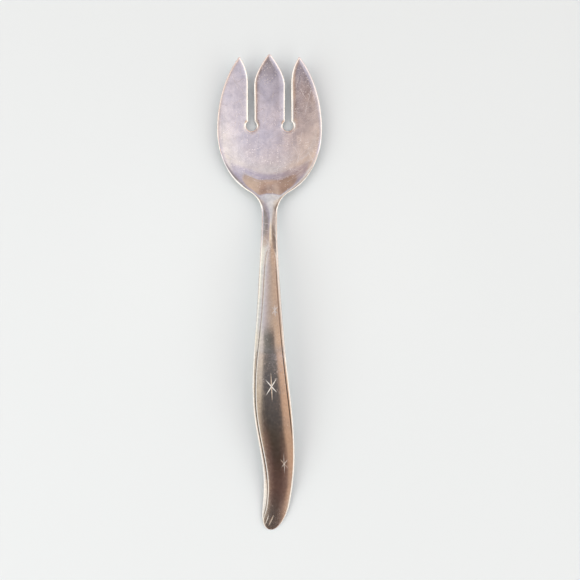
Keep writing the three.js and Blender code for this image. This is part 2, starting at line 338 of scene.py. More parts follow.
# rows of the fork's grid: close together at every edge that they run along
def rowStations():
    tip = [*edgeSteps, 1.3, 1.75]
    tines = list(np.arange(2.35, slotEnd - 0.3, 0.62))
    keyhole = list(np.linspace(slotEnd, keyholeFloor, 12))
    below = [keyholeFloor + step for step in edgeSteps[1:]]
    head = list(np.arange(below[-1] + 0.45, filletEnd, 0.45))
    neck = list(np.arange(head[-1] + 0.6, 100.0, 0.6))
    handle = list(np.arange(neck[-1] + 0.8, endEdgeStation - 1.0, 0.8))
    end = [endEdgeStation - step for step in (0.7, 0.48, 0.34, 0.22, 0.12, 0.05, 0.015, 0)]
    return tip + tines + keyhole + below + head + neck + handle + end


rows = np.array(rowStations())
floorRow = int(np.argmin(np.abs(rows - keyholeFloor)))
tineColumns, gapColumns = tineSizes["tineColumns"], tineSizes["gapColumns"]
columns = 3 * tineColumns + 2 * gapColumns
gapStarts = (tineColumns, 2 * tineColumns + gapColumns)


# one tine's row: from its left edge to its right edge, bowed to follow the round tip
def tineRow(row, leftX, leftStation, rightX, rightStation, tipPoint):
    width = math.hypot(rightX - leftX, rightStation - leftStation)
    share = ladder(width, headSteps, headSteps, tineColumns) / width
    x = leftX + (rightX - leftX) * share
    station = leftStation + (rightStation - leftStation) * share
    fade = max(0.0, 1 - rows[row] / 7.0) ** 2
    if fade:
        tipWidth = math.dist(tipPoint(0.0), tipPoint(1.0))
        tipShare = ladder(tipWidth, headSteps, headSteps, tineColumns) / tipWidth
        arc = np.array([tipPoint(s) for s in tipShare])
        ends = np.array([tipPoint(0.0), tipPoint(1.0)])
        chord = ends[:1] * (1 - tipShare[:, None]) + ends[1:] * tipShare[:, None]
        x = x + (arc - chord)[:, 0] * fade
        station = station + (arc - chord)[:, 1] * fade
    return x, station


def centreTipPoint(share):
    angle = tineSizes["tipSweep"] * (2 * share - 1)
    return tineSizes["tipRadius"] * math.sin(angle), tineSizes["tipRadius"] * (1 - math.cos(angle))


def tinesAt(row):
    station = rows[row]
    reach = 1 - smoothStep(station, 0.0, 11.0)
    centreTip, innerTip = centreTipPoint(1.0), outerTipPoint(0.0)
    centreStation = station + centreTip[1] * reach
    innerStation = station + innerTip[1] * reach
    outerStation = station + outerTipPoint(1.0)[1] * reach
    centreX = flareEdge(centreStation, *centreTip, tineSizes["centreFlare"], -1)
    innerX = flareEdge(innerStation, *innerTip, tineSizes["outerFlare"], 1)
    outerX = float(rightEdge(outerStation))
    middle = tineRow(row, -centreX, centreStation, centreX, centreStation, centreTipPoint)
    right = tineRow(row, innerX, innerStation, outerX, outerStation, outerTipPoint)
    left = (-right[0][::-1], right[1][::-1])
    inGap = np.linspace(0, 1, gapColumns + 1)[1:-1]
    gapX = centreX + (innerX - centreX) * inGap
    gapStation = np.full(len(gapX), station)
    x = np.concatenate([left[0], -gapX[::-1], middle[0], gapX, right[0]])
    return x, np.concatenate([left[1], gapStation, middle[1], gapStation, right[1]])


tineShares = tinesAt(floorRow)[0] / rightEdge(keyholeFloor)


# sideways places on the neck and handle: the border columns end on the groove lines
def handlePlaces(station):
    leftX, rightX = float(leftEdge(station)), float(rightEdge(station))
    lines = np.array(grooveLines(station), float)
    share = borderSizes["edgeColumns"] / columns
    even = leftX + (rightX - leftX) * np.array([share, 1 - share])
    toBorder = float(window(station, borderSizes["columnsFrom"], borderSizes["columnsUntil"]))
    leastHalf = 0.35
    middle = float(ridgeLine(station))
    lines = np.array([min(lines[0], middle - leastHalf), max(lines[1], middle + leastHalf)])
    lines = even + (lines - even) * toBorder
    side = borderSizes["edgeColumns"]
    left = leftX + ladder(lines[0] - leftX, edgeSteps, grooveSteps, side)
    panel = lines[0] + ladder(lines[1] - lines[0], grooveSteps, grooveSteps, columns - 2 * side)
    right = lines[1] + ladder(rightX - lines[1], grooveSteps, edgeSteps, side)
    return np.concatenate([left, panel[1:-1], right])


def bodyAt(row):
    station = rows[row]
    leftX, rightX = float(leftEdge(station)), float(rightEdge(station))
    shares = leftX + (rightX - leftX) * (tineShares + 1) / 2
    settle = smoothStep(station, keyholeFloor, keyholeFloor + 14.0)
    x = shares + (handlePlaces(station) - shares) * settle
    stations = np.full(len(x), station)
    # the keyhole's round floor, and the end of the handle, bow the rows that lie near them
    fade = max(0.0, 1 - (station - keyholeFloor) / 5.0) ** 2
    if fade:
        sweep = math.pi / 2 - tineSizes["keyholeSide"]
        angle = np.linspace(-sweep, sweep, gapColumns + 1)
        radius = tineSizes["keyholeRadius"]
        drop = radius * (np.cos(angle) - math.cos(sweep))
        shift = radius * (np.sin(angle) - np.linspace(-math.sin(sweep), math.sin(sweep), gapColumns + 1))
        for first in gapStarts:
            stations[first:first + gapColumns + 1] += drop * fade
            x[first:first + gapColumns + 1] += shift * fade
    bowStart = 188.0
    if station > bowStart:
        fade = ((station - bowStart) / (endEdgeStation - bowStart)) ** 2
        lastX = handlePlaces(endEdgeStation)
        span = (lastX - lastX[0]) / (lastX[-1] - lastX[0]) * 2 - 1
        angle = np.abs(span) * endSweep
        power = np.where(span < 0, forkSizes["leftCapPower"], forkSizes["rightCapPower"])
        arcStation = capStation + forkSizes["capLength"] * np.cos(angle) ** (2 / power)
        arcHalf = handleWidth(arcStation) / 2 * np.sin(angle) ** (2 / power)
        arcX = handleSwing(arcStation) + np.sign(span) * arcHalf
        x += (arcX - lastX) * fade
        stations += (arcStation - endEdgeStation) * fade
    return x, stations


def planOf(row):
    return tinesAt(row) if row < floorRow else bodyAt(row)


def distanceToOutline(points, starts, ends):
    along = ends - starts
    length = np.maximum((along ** 2).sum(1), 1e-12)
    nearest = np.empty(len(points))
    for first in range(0, len(points), 500):
        part = points[first:first + 500, None, :]
        share = np.clip(((part - starts) * along).sum(2) / length, 0, 1)
        gap = part - starts - along * share[:, :, None]
        nearest[first:first + 500] = np.sqrt((gap ** 2).sum(2).min(1))
    return nearest


def inFrame(x, station, height):
    return x * mm, cadBox[1][1] - station * mm, height * mm


def roundOff(distance, width, drop):
    inside = np.clip(1 - distance / width, 0, 1)
    return drop * (1 - np.sqrt(1 - inside ** 2))


# the fork starts as a flat grid: its gaps are opened, it is laid on the outline, then extruded to metal
def makeForkMesh():
    bm = bmesh.new()
    bmesh.ops.create_grid(bm, x_segments=columns, y_segments=len(rows) - 1, size=1)
    rowOf = bm.verts.layers.int.new("row")
    columnOf = bm.verts.layers.int.new("column")
    rimHighlight = bm.verts.layers.float.new("rimHighlight")
    grooveShadeOf = bm.verts.layers.float.new("grooveShade")
    for vert in bm.verts:
        vert[columnOf] = round((vert.co.x + 1) / 2 * columns)
        vert[rowOf] = round((1 - vert.co.y) / 2 * (len(rows) - 1))

    def inGap(face):
        centre = sum(vert[columnOf] for vert in face.verts) / 4
        row = sum(vert[rowOf] for vert in face.verts) / 4
        return row < floorRow and any(first < centre < first + gapColumns for first in gapStarts)

    bmesh.ops.delete(bm, geom=[face for face in bm.faces if inGap(face)], context="FACES")
    plan = [planOf(row) for row in range(len(rows))]
    planX = np.array([x for x, station in plan])
    planStation = np.array([station for x, station in plan])
    rim = [edge.verts for edge in bm.edges if edge.is_boundary]
    place = np.stack([planX, planStation], axis=2)
    starts = np.array([place[a[rowOf], a[columnOf]] for a, b in rim])
    ends = np.array([place[b[rowOf], b[columnOf]] for a, b in rim])
    distance = distanceToOutline(place.reshape(-1, 2), starts, ends).reshape(planX.shape)

    metal = thicknessAt(planStation)
    backRound = np.minimum(forkSizes["backRound"], 0.3 * metal)
    toHandle = smoothStep(planStation, *forkSizes["edgeFade"])
    edges = zip(forkSizes["headEdge"], forkSizes["handleEdge"])
    edgeWidth, edgeDrop = (onHead + (onHandle - onHead) * toHandle for onHead, onHandle in edges)
    edgeDrop = np.minimum(edgeDrop, 0.42 * metal)
    top = topHeight(planStation, planX)
    back = np.minimum(backHeight(planStation, planX), top - 0.8)
    top = top - roundOff(distance, edgeWidth, edgeDrop)
    back = back + roundOff(distance, backRound, backRound)

    # painted highlight: the base colour is made brighter along the rounded rim, less so on the handle
    rimHighlightShare = 1 - smoothStep(distance, *forkSizes["rimHighlightBand"])
    rimHighlightShare = rimHighlightShare * (1 + (forkSizes["rimHighlightOnHandle"] - 1) * smoothStep(planStation, *forkSizes["rimHighlightFade"]))
    # painted shade: a dark brown base colour along both border lines of the handle
    grooveShade = 0
    for line, amount, end in zip(grooveLines(planStation), borderSizes["grooveShade"], ("leftEnd", "rightEnd")):
        lies = amount * (1 - smoothStep(planStation, *borderSizes[end]))
        grooveShade = grooveShade + lies * (1 - smoothStep(np.abs(planX - line), *borderSizes["grooveShadeWidth"]))
    grooveShade = grooveShade * smoothStep(planStation, borderSizes["panelTip"] + 2.0, borderSizes["panelTip"] + 14.0)

    extruded = bmesh.ops.extrude_face_region(bm, geom=bm.faces[:])
    topVerts = {item for item in extruded["geom"] if isinstance(item, bmesh.types.BMVert)}
    for vert in bm.verts:
        key = vert[rowOf], vert[columnOf]
        height = top[key] if vert in topVerts else back[key]
        vert.co = inFrame(planX[key], planStation[key], height)
        if vert in topVerts:
            vert[rimHighlight] = rimHighlightShare[key]
            vert[grooveShadeOf] = grooveShade[key]
    bmesh.ops.recalc_face_normals(bm, faces=bm.faces[:])
    return bm


# cut stars and the marks at the end: each stroke is a slim wedge sunk into the metal, with its turn,
# reach to both sides of the middle, width and wall slope
starSizes = {
    "foldAngle": math.radians(12),
    "shape": [(0, 0), (0.15, 0.55), (0.3, 1), (0.5, 1), (0.7, 1), (0.85, 0.55), (1, 0)],  # width along a stroke
    "stars": [
        {"at": (1.2, 150.2),
         "strokes": [(2.5, 6.7, 7.0, 0.5, 0.4), (41, 4.3, 3.7, 0.44, 0.54), (-32, 4.7, 4.9, 0.44, 0.54)]},
        {"at": (6.8, 186.3),
         "strokes": [(3, 5.0, 4.7, 0.25, 0.36), (40, 3.1, 3.0, 0.24, 0.42), (-38, 3.0, 2.3, 0.24, 0.42)]},
        {"at": (2.75, 116.3),
         "strokes": [(2, 2.7, 2.9, 0.44, 0.5), (40, 2.2, 2.2, 0.44, 0.54), (-38, 2.2, 2.2, 0.44, 0.54)]},
        {"at": (-1.5, 214.2), "strokes": [(-20, 2.9, 2.8, 0.72, 0.3)]},
        {"at": (0.6, 214.2), "strokes": [(-24, 3.3, 3.0, 0.72, 0.3)]},
    ],
}


def makeStarCutter(direction):
    bm = bmesh.new()
    for star in starSizes["stars"]:
        if direction >= len(star["strokes"]):
            continue
        x, station = star["at"]
        turn, ahead, back, width, slope = star["strokes"][direction]
        wedge = []
        for (low, first), (high, last) in zip(starSizes["shape"], starSizes["shape"][1:]):
            made = bmesh.ops.create_cone(bm, segments=4, radius1=0.5 * first, radius2=0.5 * last, depth=high - low,
                                         cap_ends=False)
            bmesh.ops.translate(bm, verts=made["verts"], vec=(0, 0, (low + high) / 2))
            wedge += made["verts"]
        bmesh.ops.remove_doubles(bm, verts=wedge, dist=1e-4)
        wedge = [vert for vert in wedge if vert.is_valid]
        bmesh.ops.scale(bm, verts=wedge, vec=(width, slope * width, ahead + back))
        bmesh.ops.translate(bm, verts=wedge, vec=(0, 0, -back))
        spin = Matrix.Rotation(math.radians(turn), 4, "Z") @ Matrix.Rotation(math.radians(-90), 4, "X")
        bmesh.ops.transform(bm, verts=wedge, matrix=spin)
        for vert in wedge:
            height = float(topHeight(station - vert.co.y, x + vert.co.x)) + vert.co.z
            vert.co = inFrame(x + vert.co.x, station - vert.co.y, height)
    bmesh.ops.recalc_face_normals(bm, faces=bm.faces[:])
    return bm


def meshObject(name, bm):
    mesh = bpy.data.meshes.new(name)
    bm.to_mesh(mesh)
    bm.free()
    piece = bpy.data.objects.new(name, mesh)
    bpy.context.scene.collection.objects.link(piece)
    return piece


def cutStars(piece):
    cutMaterial = bpy.data.materials.new("starCut")  # tells the cut faces from the rest
    for direction in range(3):
        cutter = meshObject("starCutter", makeStarCutter(direction))
        cutter.data.materials.append(cutMaterial)
        cut = piece.modifiers.new("stars", "BOOLEAN")
        cut.operation = "DIFFERENCE"
        cut.solver = "EXACT"
        cut.material_mode = "TRANSFER"
        cut.object = cutter
        evaluated = piece.evaluated_get(bpy.context.evaluated_depsgraph_get())
        cutMesh = bpy.data.meshes.new_from_object(evaluated)
        piece.modifiers.clear()
        plain = piece.data
        piece.data = cutMesh
        bpy.data.meshes.remove(plain)
        cutterMesh = cutter.data
        bpy.data.objects.remove(cutter)
        bpy.data.meshes.remove(cutterMesh)
    piece.data.name = piece.name
    bm = bmesh.new()
    bm.from_mesh(piece.data)
    for edge in bm.edges:
        kinds = {face.material_index for face in edge.link_faces}
        if max(kinds) > 0 and (len(kinds) > 1 or edge.calc_face_angle(0) > starSizes["foldAngle"]):
            edge.smooth = False
    for face in bm.faces:
        face.material_index = 0
    bm.to_mesh(piece.data)
    bm.free()
    while len(piece.data.materials) > 1:
        piece.data.materials.pop()
    bpy.data.materials.remove(cutMaterial)


def smoothShade(piece, sharpAngle):
    bm = bmesh.new()
    bm.from_mesh(piece.data)
    for face in bm.faces:
        face.smooth = True
    for edge in bm.edges:
        edge.smooth = edge.smooth and edge.calc_face_angle(0) < sharpAngle
    bm.to_mesh(piece.data)
    bm.free()


# a node with its settings, and its inputs as values or other nodes' outputs
def addNode(tree, kind, inputs=None, **settings):
    node = tree.nodes.new(kind if kind.startswith("NodeGroup") else "ShaderNode" + kind)
    for name, value in settings.items():
        setattr(node, name, value)
    for name, value in (inputs or {}).items():
        link(tree, value, node.inputs[name])
    return node


def link(tree, value, socket):
    if isinstance(value, bpy.types.NodeSocket):
        tree.links.new(value, socket)
    else:
        socket.default_value = value


def softMask(tree, value, low, high):
    limits = {"Value": value, "From Min": low, "From Max": high}
    return addNode(tree, "MapRange", limits, interpolation_type="SMOOTHSTEP").outputs["Result"]


def calculate(tree, operation, first, second):
    return addNode(tree, "Math", {0: first, 1: second}, operation=operation).outputs["Value"]


def times(tree, first, second):
    return calculate(tree, "MULTIPLY", first, second)


def axes(tree, vector):
    return addNode(tree, "SeparateXYZ", {"Vector": vector}).outputs


def mixColour(tree, factor, first, second, blend="MIX"):
    inputs = {"Factor": factor, "A": first, "B": second}
    return addNode(tree, "Mix", inputs, data_type="RGBA", blend_type=blend).outputs["Result"]


# colours along a value, from the first stop's value to the last one's
def colourRamp(tree, value, stops):
    low, high = stops[0][0], stops[-1][0]
    share = addNode(tree, "MapRange", {"Value": value, "From Min": low, "From Max": high}).outputs["Result"]
    ramp = addNode(tree, "ValToRGB", {"Fac": share})
    elements = ramp.color_ramp.elements
    elements[0].color = (*stops[0][1], 1)
    elements[1].color = (*stops[-1][1], 1)
    for at, colour in stops[1:-1]:
        elements.new((at - low) / (high - low)).color = (*colour, 1)
    return ramp.outputs["Color"]


# satin steel with fine wear, a painted highlight along its rims and painted shade along the border lines; scratches
# give their turn, how close across and along, and the share that shows
steelFinish = {
    "warm": (0.7, 0.675, 0.65, 1),
    "cool": (0.635, 0.632, 0.64, 1),
    "wearAndRimHighlight": (0.51, 0.515, 0.54, 1),
    "pale": (0.96, 0.94, 0.93, 1),
    # painted rim highlight colour
    "rim": (0.97, 0.94, 0.91, 1),
    # painted shade colour for the border lines
    "grooveShade": (0.2, 0.145, 0.115, 1),
    "mottle": (0.86, 0.86, 0.875, 1),
    "mottleScale": 260,
    "blotchScale": 75,
    "grainScale": 750,
    "speckScale": 850,
    "speckShare": 0.3,
    "hazeScale": 1100,
    "handleRoughness": 0.15,
    "headRoughness": 0.18,
    "heelRoughness": 0.1,
    "endRoughness": 0.26,
    "scratches": [(12, 4200, 70, 0.04), (58, 4200, 90, 0.02), (105, 4600, 80, 0.02), (150, 4200, 75, 0.02)],
    "heelScratches": (90, 3600, 95, 0.22),
    "longScratches": [((-17.2, 77.6), 37, 12.5, 0.55), ((-18.6, 98.0), 57, 9.0, 0.5),
        ((-15.5, 75.5), 30, 7.0, 0.35), ((5.5, 70.5), -12, 9.0, 0.35)],
    "streaks": (300, 55),
    "markDepth": 0.000012,
    "wander": (0.0025, 0.0025, 0.0),
    "wanderScale": 16,
    # where along the fork each of these sets in, in metres
    "headFrom": (0.02, 0.05),
    "marksFrom": (0.0, 0.05),
    "heelFrom": (0.05, 0.053),
    "heelUntil": (0.074, 0.062),
    "heelTop": (0.058, 0.054),
    "heelFoot": (0.04, 0.044),
    "endFrom": (-0.088, -0.101),
    "hazeFrom": (-0.09, -0.03),
    "reliefShow": (0.1, 1.0),
    "speckShow": (0.25, 1.0),
    "scratchShow": (0.06, 0.5),
    "haze": (0.12, 0.05),  # on the handle and on the head, as for the marks
    "dulled": 0.7,
    "dulledFrom": (0.055, 0.066),
}


# thin straight marks: long narrow cells, of which a share shows
def makeHairlines():
    group = bpy.data.node_groups.new("hairlines", "ShaderNodeTree")
    group.interface.new_socket("Vector", in_out="INPUT", socket_type="NodeSocketVector")
    for name in ("Turn", "Across", "Along", "Share"):
        group.interface.new_socket(name, in_out="INPUT", socket_type="NodeSocketFloat")
    group.interface.new_socket("Mask", in_out="OUTPUT", socket_type="NodeSocketFloat")
    given = addNode(group, "NodeGroupInput").outputs
    inputs = {"Vector": given["Vector"], "Angle": given["Turn"]}
    turned = addNode(group, "VectorRotate", inputs, rotation_type="Z_AXIS").outputs["Vector"]
    stretch = addNode(group, "CombineXYZ", {"X": given["Across"], "Y": given["Along"]}).outputs["Vector"]
    place = addNode(group, "VectorMath", {0: turned, 1: stretch}, operation="MULTIPLY").outputs["Vector"]
    cells = addNode(group, "TexVoronoi", {"Vector": place, "Scale": 1.0}, voronoi_dimensions="2D").outputs
    lot = addNode(group, "SeparateColor", {"Color": cells["Color"]}).outputs["Red"]
    shown = calculate(group, "LESS_THAN", lot, given["Share"])
    line = softMask(group, cells["Distance"], 0.34, 0.08)
    addNode(group, "NodeGroupOutput", {"Mask": times(group, shown, line)})
    return group


def makeSteel():
    material = bpy.data.materials.new("satinSteel")
    material.use_nodes = True
    tree = material.node_tree
    tree.nodes.clear()
    shader = addNode(tree, "BsdfPrincipled", {"Metallic": 1})
    addNode(tree, "OutputMaterial", {"Surface": shader.outputs["BSDF"]})
    coords = addNode(tree, "TexCoord").outputs["Object"]
    right, fore = axes(tree, coords)[:2]

    def foreMask(name):
        return softMask(tree, fore, *steelFinish[name])

    def noise(scale, detail, vector=coords):
        return addNode(tree, "TexNoise", {"Vector": vector, "Scale": scale, "Detail": detail}).outputs["Fac"]

    def between(mask, low, high):
        return addNode(tree, "Mix", {"Factor": mask, "A": low, "B": high}).outputs["Result"]

    # scratches wander a little, and lie along the heel's curve beside it
    wander = addNode(tree, "TexNoise", {"Vector": coords, "Scale": steelFinish["wanderScale"]}).outputs["Color"]
    inputs = {0: wander, 1: steelFinish["wander"], 2: coords}
    sway = addNode(tree, "VectorMath", inputs, operation="MULTIPLY_ADD").outputs["Vector"]
    hairlines = makeHairlines()

    def marks(vector, turn, across, along, share):
        inputs = {"Vector": vector, "Turn": math.radians(turn), "Across": across, "Along": along, "Share": share}
        return addNode(tree, "Group", inputs, node_tree=hairlines).outputs["Mask"]

    scratch = marks(sway, *steelFinish["scratches"][0])
    for kind in steelFinish["scratches"][1:]:
        scratch = calculate(tree, "MAXIMUM", scratch, marks(sway, *kind))
    bend = forkSizes["heelBow"] / forkSizes["heelBowHalfWidth"] ** 2 / mm
    bowedFore = calculate(tree, "SUBTRACT", fore, times(tree, times(tree, right, right), bend))
    bowed = addNode(tree, "CombineXYZ", {"X": right, "Y": bowedFore}).outputs["Vector"]
    nearHeel = times(tree, foreMask("heelFrom"), foreMask("heelUntil"))
    heelMarks = times(tree, marks(bowed, *steelFinish["heelScratches"]), nearHeel)
    scratch = calculate(tree, "MAXIMUM", scratch, heelMarks)

    # longer ones, each with its middle, turn, length and width in millimetres
    for (x, y), turn, length, width in steelFinish["longScratches"]:
        inputs = {"Vector": sway, "Location": (x * mm, y * mm, 0), "Rotation": (0, 0, math.radians(turn))}
        turned = addNode(tree, "Mapping", inputs, vector_type="TEXTURE").outputs["Vector"]
        lengthwise, sideways = axes(tree, turned)[:2]
        along = softMask(tree, calculate(tree, "ABSOLUTE", lengthwise, 0.0), length / 2 * mm, length / 5 * mm)
        across = softMask(tree, calculate(tree, "ABSOLUTE", sideways, 0.0), width / 2 * mm, width / 6 * mm)
        faint = times(tree, times(tree, along, across), softMask(tree, noise(500, 3), 0.3, 0.6))
        scratch = calculate(tree, "MAXIMUM", scratch, faint)

    # tiny bright specks
    inputs = {"Vector": coords, "Scale": steelFinish["speckScale"]}
    cells = addNode(tree, "TexVoronoi", inputs, voronoi_dimensions="2D").outputs
    lot = addNode(tree, "SeparateColor", {"Color": cells["Color"]}).outputs["Red"]
    shown = calculate(tree, "LESS_THAN", lot, steelFinish["speckShare"])
    speck = times(tree, softMask(tree, cells["Distance"], 0.24, 0.1), shown)
    speck = times(tree, speck, softMask(tree, noise(steelFinish["blotchScale"] * 1.3, 2), 0.42, 0.62))

    grain = noise(steelFinish["grainScale"], 4)
    across, along = steelFinish["streaks"]
    stretched = addNode(tree, "CombineXYZ", {"X": times(tree, right, across), "Y": times(tree, fore, along)})
    streak = noise(1.0, 3, stretched.outputs["Vector"])
    blotch = softMask(tree, noise(steelFinish["blotchScale"], 3), 0.36, 0.64)
    colour = mixColour(tree, blotch, steelFinish["cool"], steelFinish["warm"])
    dulled = times(tree, foreMask("dulledFrom"), steelFinish["dulled"])
    dulled = times(tree, softMask(tree, streak, 0.5, 0.72), dulled)
    colour = mixColour(tree, dulled, colour, steelFinish["wearAndRimHighlight"])
    limits = {"Value": grain, "From Min": 0.3, "From Max": 0.7, "To Min": 0.93, "To Max": 1.07}
    shade = addNode(tree, "MapRange", limits).outputs["Result"]
    colour = mixColour(tree, 1.0, colour, shade, "MULTIPLY")
    onHead = foreMask("headFrom")
    mottle = times(tree, softMask(tree, noise(steelFinish["mottleScale"], 4), 0.35, 0.65), onHead)
    colour = mixColour(tree, mottle, colour, mixColour(tree, 1.0, colour, steelFinish["mottle"], "MULTIPLY"))
    fainter = foreMask("marksFrom")  # marks show less on the brighter handle
    mark = calculate(tree, "MAXIMUM", times(tree, scratch, between(fainter, *steelFinish["scratchShow"])),
                     times(tree, speck, between(fainter, *steelFinish["speckShow"])))
    colour = mixColour(tree, mark, colour, steelFinish["pale"])
    # painted highlight along the rims: a patchy, brighter base colour near the outline
    wearAndRimHighlight = addNode(tree, "Attribute", attribute_name="rimHighlight").outputs["Fac"]
    patchy = softMask(tree, noise(steelFinish["blotchScale"] * 3, 2), 0.35, 0.6)
    wearAndRimHighlight = times(tree, wearAndRimHighlight, between(patchy, 0.7, 1.0))
    colour = mixColour(tree, wearAndRimHighlight, colour, steelFinish["rim"])
    # painted shade along the border lines: a dark brown base colour, broken up by the grain
    grooveShade = addNode(tree, "Attribute", attribute_name="grooveShade").outputs["Fac"]
    colour = mixColour(tree, times(tree, grooveShade, between(grain, 0.75, 1.0)), colour, steelFinish["grooveShade"])
    link(tree, colour, shader.inputs["Base Color"])

    rough = between(onHead, steelFinish["handleRoughness"], steelFinish["headRoughness"])
    rough = between(foreMask("endFrom"), rough, steelFinish["endRoughness"])
    onHeel = times(tree, softMask(tree, bowedFore, *steelFinish["heelTop"]), foreMask("heelFoot"))
    rough = between(onHeel, rough, steelFinish["heelRoughness"])
    rough = calculate(tree, "ADD", rough, times(tree, calculate(tree, "SUBTRACT", grain, 0.5), 0.1))
    haze = times(tree, softMask(tree, noise(steelFinish["hazeScale"], 2), 0.5, 0.68), foreMask("hazeFrom"))
    rough = calculate(tree, "ADD", rough, times(tree, haze, between(onHead, *steelFinish["haze"])))
    link(tree, between(mark, rough, 0.5), shader.inputs["Roughness"])
    sunk = times(tree, scratch, between(fainter, *steelFinish["reliefShow"]))
    relief = calculate(tree, "SUBTRACT", times(tree, grain, 0.3), sunk)
    bump = addNode(tree, "Bump", {"Height": relief, "Distance": steelFinish["markDepth"], "Strength": 1})
    link(tree, bump.outputs["Normal"], shader.inputs["Normal"])
    return material


# fork
print("fork: shaping the grid")
fork = meshObject("servingFork", makeForkMesh())
fork.data.materials.append(makeSteel())
print("fork: cutting the stars")
cutStars(fork)
smoothShade(fork, math.radians(60))
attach(fork, "root")
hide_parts("serving_fork")
print("fork:", len(fork.data.polygons), "faces")


# plain pale floor
def makeFloor():
    bm = bmesh.new()
    bmesh.ops.create_grid(bm, x_segments=1, y_segments=1, size=4)
    floor = meshObject("floor", bm)
    material = bpy.data.materials.new("paleFloor")
    material.use_nodes = True
    shader = material.node_tree.nodes["Principled BSDF"]
    shader.inputs["Base Color"].default_value = (0.71, 0.8, 0.835, 1)
    shader.inputs["Roughness"].default_value = 0.9
    floor.data.materials.append(material)


makeFloor()
print("floor: laid")

# soft boxes that hang level over the table and light the floor, each with its middle, turn, size and glow
lights = {
    "leftBox": {"at": (-0.868, -0.395, 0.55), "turn": -18.0, "size": (1.1, 1.13), "glow": (0.9, 0.89, 0.88)},
    "rightBox": {"at": (0.815, -0.44, 0.55), "turn": 13.3, "size": (1.1, 1.1), "glow": (0.72, 0.715, 0.71)},
    "topBox": {"at": (-0.15, 0.2, 0.7), "turn": 0.0, "size": (0.9, 0.9), "glow": (0.48, 0.48, 0.48)},
}


def makeLights():
    for name, box in lights.items():
        data = bpy.data.lights.new(name, "AREA")
        data.shape = "RECTANGLE"
        data.size, data.size_y = box["size"]
        strongest = max(box["glow"])
        data.color = [part / strongest for part in box["glow"]]
        data.energy = strongest * math.pi * data.size * data.size_y
        lamp = bpy.data.objects.new(name, data)
        lamp.location = box["at"]
        lamp.rotation_euler.z = math.radians(box["turn"])
        lamp.visible_camera = False
        lamp.visible_glossy = False
        bpy.context.scene.collection.objects.link(lamp)


# what the metal sees of the room, by how far a direction leans from straight up, in degrees:
# fore (+) or aft (-), and to the right (+) or left (-)
room = {
    # ceiling in front, by fore lean, and its tint from left to right where it hangs low, high and near the wall
    "ceiling": [(-10, (0.82, 0.68, 0.68)), (-5, (0.95, 0.86, 0.98)), (0, (0.96, 0.89, 1.04)),
        (7, (0.93, 0.85, 0.98)), (11, (1.0, 0.87, 0.88)), (14, (1.05, 0.9, 0.85)), (18, (0.92, 0.79, 0.77)),
        (22, (0.72, 0.62, 0.7)), (28, (0.66, 0.57, 0.67)), (41, (0.66, 0.58, 0.66)), (45, (0.73, 0.55, 0.48)),
        (55, (0.76, 0.57, 0.47)), (63, (0.78, 0.57, 0.48)), (70, (0.68, 0.52, 0.46)), (90, (0.6, 0.48, 0.43))],
    "tintAbove": [(-60, (0.75, 0.75, 0.8)), (-40, (0.75, 0.74, 0.78)), (-24, (1.03, 0.8, 0.54)),
        (-15, (1.05, 0.84, 0.57)), (-6, (1.0, 0.97, 0.94)), (0, (1, 1, 1)), (17, (1.03, 1.05, 1.02)),
        (50, (1.1, 1.12, 1.1))],
    "tintAhead": [(-60, (0.95, 0.9, 0.95)), (-27, (0.98, 0.87, 0.75)), (-19, (1.05, 0.98, 0.88)),
        (-12, (0.98, 0.95, 0.92)), (0, (1, 1, 1)), (12, (1.07, 1.1, 1.13)), (18, (1.38, 1.43, 1.42)),
        (26, (1.47, 1.54, 1.47)), (60, (1.45, 1.5, 1.45))],
    "tintFar": [(-30, (0.8, 0.73, 0.68)), (-18, (0.9, 0.83, 0.79)), (-8, (0.98, 0.93, 0.89)),
        (0, (1.02, 1.0, 0.98)), (10, (1.1, 1.1, 1.06)), (30, (1.18, 1.2, 1.16))],
    "aheadFrom": (2, 9),
    "farFrom": (38, 46),
    # two pale panels behind the table, and the dark gap between them, which widens further back
    "gap": [(-60, (0.19, 0.105, 0.085)), (-47, (0.165, 0.095, 0.078)), (-43, (0.105, 0.062, 0.048)),
        (-38, (0.085, 0.06, 0.045)), (-34, (0.085, 0.066, 0.05)), (-30, (0.11, 0.098, 0.092)),
        (-25, (0.135, 0.122, 0.122)), (-14, (0.18, 0.167, 0.163)), (-8, (0.2, 0.19, 0.178))],
    "brown": (0.26, 0.155, 0.125, 1),
    "leftPanel": [(-47, (0.8, 0.62, 0.48)), (-35, (0.8, 0.63, 0.48)), (-25, (0.9, 0.75, 0.58)),
        (-8, (0.96, 0.84, 0.76))],
    "rightPanel": [(-47, (0.72, 0.46, 0.32)), (-35, (0.74, 0.48, 0.32)), (-25, (0.83, 0.54, 0.375)),
        (-8, (0.84, 0.58, 0.43))],
    "leftLine": (-18.5, 22, 45, 0.65),  # lean to the side, how far aft it starts and stops to widen, and how fast
    "rightLine": (16.7, 31, 60, 0.75),
    "panelsUntil": (-8.2, -6),
    # the left panel darkens towards its outer edge
    "leftFar": (0.58, 0.47, 0.33, 1),
    "leftFarFrom": (-31, -37),
    "leftFarUntil": (-42, -33),
    # light low down at both sides, which draws the rims
    "rimLight": (1.4, 1.34, 1.24, 1),
    "rimFrom": (27, 43),
    "leftRimFrom": (41, 50),
    "rightRimFrom": (45, 56),
    "rimUntil": (42, 26),
    # the dark blur of whoever stands over the table
    "shade": (0.34, 0.29, 0.28, 1),
    "shadeAt": (-11.2, 0.0),
    "shadeSize": (5.0, 9.0),
    "shadeSlant": 1.25,
    "pale": (0.8, 0.79, 0.78, 1),
}


